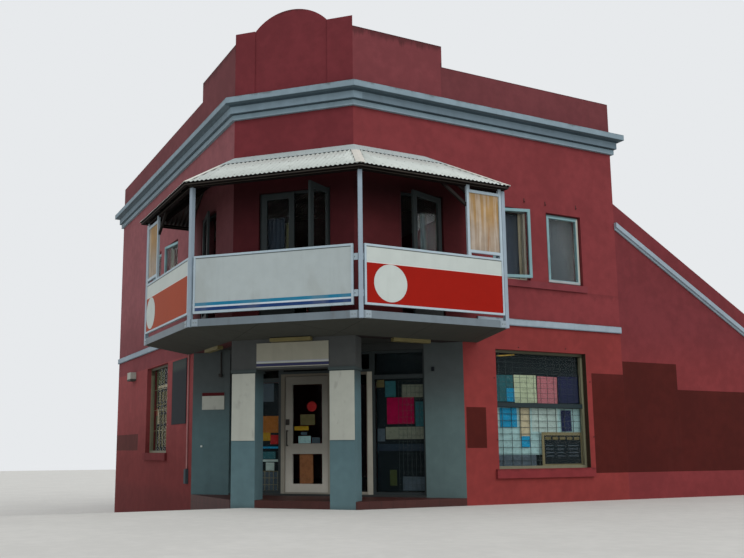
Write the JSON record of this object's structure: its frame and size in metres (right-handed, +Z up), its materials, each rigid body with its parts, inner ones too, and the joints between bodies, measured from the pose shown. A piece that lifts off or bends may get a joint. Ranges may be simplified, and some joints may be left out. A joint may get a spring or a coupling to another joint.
{
  "type": "corner shop building",
  "caption": "Two-storey rendered corner shop with a chamfered corner, recessed shopfront, verandah over the street, arched parapet and a single-storey wing.",
  "frame": {"origin": "centre of the foot of the right-hand corner column, on the underside of the footings", "axes": "+X along the right street wall away from the corner, +Y along the left street wall away from the corner, +Z up"},
  "size_m": [13.3053, 10.7053, 8.9],
  "materials": {
    "red_render": "painted render, matt",
    "blue_grey_trim": "painted render mouldings, matt",
    "roof_sheet": "corrugated steel, weathered",
    "verandah_sheet": "corrugated steel, off-white paint",
    "shop_slab": "concrete",
    "floorboards": "timber floor",
    "porch_tiles": "dark red quarry tiles, worn",
    "blue_grey_render": "painted render, satin",
    "dark_timber": "dark painted timber",
    "white_aluminium": "powder coat, off-white",
    "clear_glass": "clear window glass",
    "steel_fittings": "brushed",
    "red_sills": "painted render, matt",
    "teal_frames": "pale blue-green paint",
    "verandah_timber": "dark painted timber",
    "zinc_flashing": "folded sheet, weathered",
    "screen_cloth": "stained translucent sheet",
    "lamp_covers": "yellowed diffusers",
    "grey_frames": "grey powder coat",
    "deck_lining": "painted sheet lining",
    "blue_steel": "painted steel tube",
    "cream_board": "painted sheet board",
    "red_board": "painted sheet board",
    "pale_fittings": "painted sheet"
  },
  "bodies": {
    "building": {"right_wall_ground": "red_render", "left_wall_ground": "red_render", "end_wall": "red_render", "rear_wall": "red_render", "right_wall_upper": "red_render", "left_wall_upper": "red_render", "corner_wall_upper": "red_render", "parapet_right": "red_render", "parapet_left": "red_render", "parapet_corner": "red_render", "cornice": "blue_grey_trim", "string_course": "blue_grey_trim", "window_sills": "red_sills", "main_roof": "roof_sheet", "shop_floor": "shop_slab", "upper_floor": "floorboards", "porch_base": "porch_tiles", "corner_columns": "blue_grey_render", "corner_beam": "blue_grey_render", "shopfront_pier_right": "blue_grey_render", "shopfront_pier_left": "blue_grey_render", "shopfront_header": "blue_grey_render", "shopfront_windows": "dark_timber", "shopfront_glass": "clear_glass", "entry_frame": "white_aluminium", "entry_glass": "clear_glass", "entry_hinges": "steel_fittings", "shop_windows": "grey_frames", "shop_window_glass": "clear_glass", "upper_windows": "teal_frames", "upper_sashes": "teal_frames", "upper_glass": "clear_glass", "balcony_doors": "dark_timber", "balcony_door_leaves": "dark_timber", "balcony_deck": "deck_lining", "balcony_fascia": "blue_steel", "balcony_posts": "blue_steel", "balcony_rails": "blue_steel", "screen_sheets": "screen_cloth", "verandah_roof": "verandah_sheet", "verandah_frame": "verandah_timber", "roof_flashings": "zinc_flashing", "sign_board_corner": "cream_board", "sign_boards_side": "red_board", "name_board": "cream_board", "wall_fittings": "pale_fittings", "light_battens": "lamp_covers", "wing_street_wall": "red_render", "wing_back_walls": "red_render", "wing_roof": "roof_sheet", "gutters": "zinc_flashing"},
    "entry_door": {"door_leaf": "white_aluminium", "door_glass": "clear_glass", "door_handle": "steel_fittings"}
  },
  "joints": [
    {"name": "entry_door_hinge", "type": "hinge", "parent": "building", "child": "entry_door", "pos_m": [0.47632, 1.52779, 0.77], "axis": [0, 0, -1], "range_deg": [0, 90]}
  ]
}
